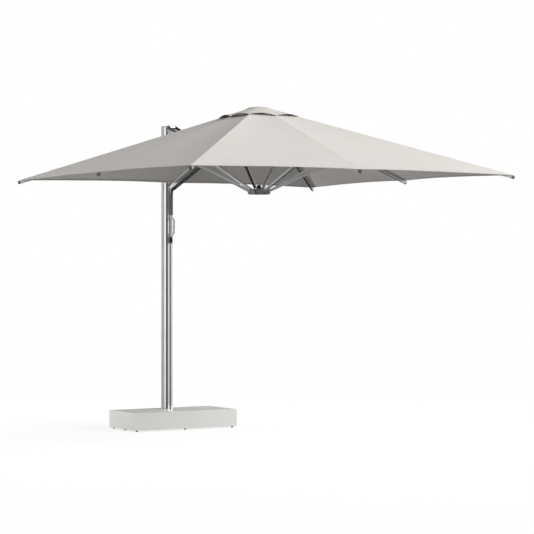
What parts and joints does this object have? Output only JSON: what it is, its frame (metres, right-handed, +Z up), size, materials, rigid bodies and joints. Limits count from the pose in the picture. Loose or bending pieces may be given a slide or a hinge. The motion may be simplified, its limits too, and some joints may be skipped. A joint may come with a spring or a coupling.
{
  "type": "cantilever parasol",
  "caption": "Square side-post parasol: a slotted mast on a slab base, a sliding carriage and an arm that carries a folding canopy over its side.",
  "frame": {"origin": "centre of the base, on the floor, at the underside of the middle foot", "axes": "+Z up, +X from the mast towards the canopy, +Y to the left of somebody looking along +X"},
  "size_m": [3.2288, 3.0172, 2.766],
  "materials": {
    "base_paint": "satin",
    "dark_steel": "satin",
    "zinc": "satin",
    "concrete": "matte",
    "rubber": "matte",
    "polished_aluminium": "polished",
    "grey_plastic": "satin",
    "satin_aluminium": "satin",
    "black_steel": "satin",
    "dark_plastic": "satin",
    "handle_grey": "satin",
    "black_plastic": "satin",
    "hub_alloy": "satin",
    "fabric": "matte",
    "rib_grey": "satin",
    "cap_silver": "satin"
  },
  "bodies": {
    "stand": {"base_cover": "base_paint", "base_plate": "dark_steel", "mast_socket": "dark_steel", "socket_bolts": "zinc", "ballast_blocks": "concrete", "base_feet": "rubber", "mast": "polished_aluminium", "rail_strips": "black_plastic", "mast_cap": "grey_plastic", "top_bracket": "satin_aluminium", "bracket_screws": "zinc", "top_pivot_pin": "zinc"},
    "strut": {"strut": "black_steel"},
    "arm": {"arm": "satin_aluminium", "arm_spacers": "satin_aluminium", "arm_foot_pins": "zinc", "middle_pivot_pin": "zinc", "hub_pivot_pin": "zinc"},
    "carriage": {"slider": "dark_plastic", "carriage": "dark_plastic", "handle": "handle_grey", "lock_block": "grey_plastic"},
    "lock_knob": {"lock_knob": "black_plastic"},
    "hub": {"upper_hub": "hub_alloy", "rib_pins": "zinc", "crown": "black_plastic", "vent_cap": "fabric"},
    "lower_hub": {"lower_hub": "dark_plastic", "lower_knob": "black_plastic"},
    "rib_front": {"rib_front": "rib_grey", "rib_cap_front": "cap_silver", "fabric_front": "fabric"},
    "stretcher_front": {"stretcher_front": "rib_grey"},
    "rib_front_left": {"rib_front_left": "rib_grey", "rib_cap_front_left": "cap_silver", "fabric_front_left": "fabric"},
    "stretcher_front_left": {"stretcher_front_left": "rib_grey"},
    "rib_left": {"rib_left": "rib_grey", "rib_cap_left": "cap_silver", "fabric_left": "fabric"},
    "stretcher_left": {"stretcher_left": "rib_grey"},
    "rib_back_left": {"rib_back_left": "rib_grey", "rib_cap_back_left": "cap_silver", "fabric_back_left": "fabric"},
    "stretcher_back_left": {"stretcher_back_left": "rib_grey"},
    "rib_back": {"rib_back": "rib_grey", "rib_cap_back": "cap_silver", "fabric_back": "fabric"},
    "stretcher_back": {"stretcher_back": "rib_grey"},
    "rib_back_right": {"rib_back_right": "rib_grey", "rib_cap_back_right": "cap_silver", "fabric_back_right": "fabric"},
    "stretcher_back_right": {"stretcher_back_right": "rib_grey"},
    "rib_right": {"rib_right": "rib_grey", "rib_cap_right": "cap_silver", "fabric_right": "fabric"},
    "stretcher_right": {"stretcher_right": "rib_grey"},
    "rib_front_right": {"rib_front_right": "rib_grey", "rib_cap_front_right": "cap_silver", "fabric_front_right": "fabric"},
    "stretcher_front_right": {"stretcher_front_right": "rib_grey"}
  },
  "joints": [
    {"name": "canopy_fold", "type": "hinge", "parent": "stand", "child": "strut", "pos_m": [-0.03, 0, 2.69], "axis": [0, 1, 0], "range_deg": [0, 60]},
    {"name": "arm_on_strut", "type": "hinge", "parent": "strut", "child": "arm", "pos_m": [0.72161, 0, 2.41599], "axis": [0, 1, 0], "range_deg": [-120, 0]},
    {"name": "hub_level", "type": "hinge", "parent": "arm", "child": "hub", "pos_m": [1.47322, 0, 2.69], "axis": [0, 1, 0], "range_deg": [0, 60], "deforming": ["vent_cap"]},
    {"name": "carriage_slide", "type": "slide", "parent": "stand", "child": "carriage", "axis": [0, 0, -1], "range_m": [0, 1.02783]},
    {"name": "lock_knob_turn", "type": "hinge", "parent": "carriage", "child": "lock_knob", "pos_m": [-0.0435, 0, 1.68098], "axis": [1, 0, 0], "range_deg": [0, 90]},
    {"name": "rib_front_fold", "type": "hinge", "parent": "hub", "child": "rib_front", "pos_m": [1.54822, 0, 2.738], "axis": [0, 1, 0], "range_deg": [0, 61.07], "deforming": ["fabric_front"]},
    {"name": "stretcher_front_fold", "type": "hinge", "parent": "rib_front", "child": "stretcher_front", "pos_m": [2.39354, 0, 2.40106], "axis": [0, 1, 0], "range_deg": [-122.14, 0]},
    {"name": "rib_front_left_fold", "type": "hinge", "parent": "hub", "child": "rib_front_left", "pos_m": [1.52625, 0.05303, 2.738], "axis": [-0.7071, 0.7071, 0], "range_deg": [0, 66.78], "deforming": ["fabric_front_left"]},
    {"name": "stretcher_front_left_fold", "type": "hinge", "parent": "rib_front_left", "child": "stretcher_front_left", "pos_m": [2.12032, 0.64709, 2.5007], "axis": [-0.7071, 0.7071, 0], "range_deg": [-122.46, 0]},
    {"name": "rib_left_fold", "type": "hinge", "parent": "hub", "child": "rib_left", "pos_m": [1.47322, 0.075, 2.738], "axis": [-1, 0, 0], "range_deg": [0, 61.07], "deforming": ["fabric_left"]},
    {"name": "stretcher_left_fold", "type": "hinge", "parent": "rib_left", "child": "stretcher_left", "pos_m": [1.47322, 0.92032, 2.40106], "axis": [-1, 0, 0], "range_deg": [-122.14, 0]},
    {"name": "rib_back_left_fold", "type": "hinge", "parent": "hub", "child": "rib_back_left", "pos_m": [1.42019, 0.05303, 2.738], "axis": [-0.7071, -0.7071, 0], "range_deg": [0, 66.78], "deforming": ["fabric_back_left"]},
    {"name": "stretcher_back_left_fold", "type": "hinge", "parent": "rib_back_left", "child": "stretcher_back_left", "pos_m": [0.82613, 0.64709, 2.5007], "axis": [-0.7071, -0.7071, 0], "range_deg": [-122.46, 0]},
    {"name": "rib_back_fold", "type": "hinge", "parent": "hub", "child": "rib_back", "pos_m": [1.39822, 0, 2.738], "axis": [0, -1, 0], "range_deg": [0, 61.07], "deforming": ["fabric_back"]},
    {"name": "stretcher_back_fold", "type": "hinge", "parent": "rib_back", "child": "stretcher_back", "pos_m": [0.5529, 0, 2.40106], "axis": [0, -1, 0], "range_deg": [-122.14, 0]},
    {"name": "rib_back_right_fold", "type": "hinge", "parent": "hub", "child": "rib_back_right", "pos_m": [1.42019, -0.05303, 2.738], "axis": [0.7071, -0.7071, 0], "range_deg": [0, 66.78], "deforming": ["fabric_back_right"]},
    {"name": "stretcher_back_right_fold", "type": "hinge", "parent": "rib_back_right", "child": "stretcher_back_right", "pos_m": [0.82613, -0.64709, 2.5007], "axis": [0.7071, -0.7071, 0], "range_deg": [-122.46, 0]},
    {"name": "rib_right_fold", "type": "hinge", "parent": "hub", "child": "rib_right", "pos_m": [1.47322, -0.075, 2.738], "axis": [1, 0, 0], "range_deg": [0, 61.07], "deforming": ["fabric_right"]},
    {"name": "stretcher_right_fold", "type": "hinge", "parent": "rib_right", "child": "stretcher_right", "pos_m": [1.47322, -0.92032, 2.40106], "axis": [1, 0, 0], "range_deg": [-122.14, 0]},
    {"name": "rib_front_right_fold", "type": "hinge", "parent": "hub", "child": "rib_front_right", "pos_m": [1.52625, -0.05303, 2.738], "axis": [0.7071, 0.7071, 0], "range_deg": [0, 66.78], "deforming": ["fabric_front_right"]},
    {"name": "stretcher_front_right_fold", "type": "hinge", "parent": "rib_front_right", "child": "stretcher_front_right", "pos_m": [2.12032, -0.64709, 2.5007], "axis": [0.7071, 0.7071, 0], "range_deg": [-122.46, 0]},
    {"name": "lower_hub_level", "type": "hinge", "parent": "stretcher_front", "child": "lower_hub", "pos_m": [1.54822, 0, 2.06412], "axis": [0, 1, 0], "range_deg": [0, 61.07]}
  ],
  "couplings": [
    {"joint": "arm_on_strut", "follows": "canopy_fold", "ratio": -2},
    {"joint": "hub_level", "follows": "canopy_fold", "ratio": 1},
    {"joint": "carriage_slide", "follows": "canopy_fold", "m_per_rad": 0.98149},
    {"joint": "rib_front_fold", "follows": "canopy_fold", "ratio": 1.0178},
    {"joint": "stretcher_front_fold", "follows": "canopy_fold", "ratio": -2.0356},
    {"joint": "rib_front_left_fold", "follows": "canopy_fold", "ratio": 1.113},
    {"joint": "stretcher_front_left_fold", "follows": "canopy_fold", "ratio": -2.041},
    {"joint": "rib_left_fold", "follows": "canopy_fold", "ratio": 1.0178},
    {"joint": "stretcher_left_fold", "follows": "canopy_fold", "ratio": -2.0356},
    {"joint": "rib_back_left_fold", "follows": "canopy_fold", "ratio": 1.113},
    {"joint": "stretcher_back_left_fold", "follows": "canopy_fold", "ratio": -2.041},
    {"joint": "rib_back_fold", "follows": "canopy_fold", "ratio": 1.0178},
    {"joint": "stretcher_back_fold", "follows": "canopy_fold", "ratio": -2.0356},
    {"joint": "rib_back_right_fold", "follows": "canopy_fold", "ratio": 1.113},
    {"joint": "stretcher_back_right_fold", "follows": "canopy_fold", "ratio": -2.041},
    {"joint": "rib_right_fold", "follows": "canopy_fold", "ratio": 1.0178},
    {"joint": "stretcher_right_fold", "follows": "canopy_fold", "ratio": -2.0356},
    {"joint": "rib_front_right_fold", "follows": "canopy_fold", "ratio": 1.113},
    {"joint": "stretcher_front_right_fold", "follows": "canopy_fold", "ratio": -2.041},
    {"joint": "lower_hub_level", "follows": "canopy_fold", "ratio": 1.0178}
  ]
}
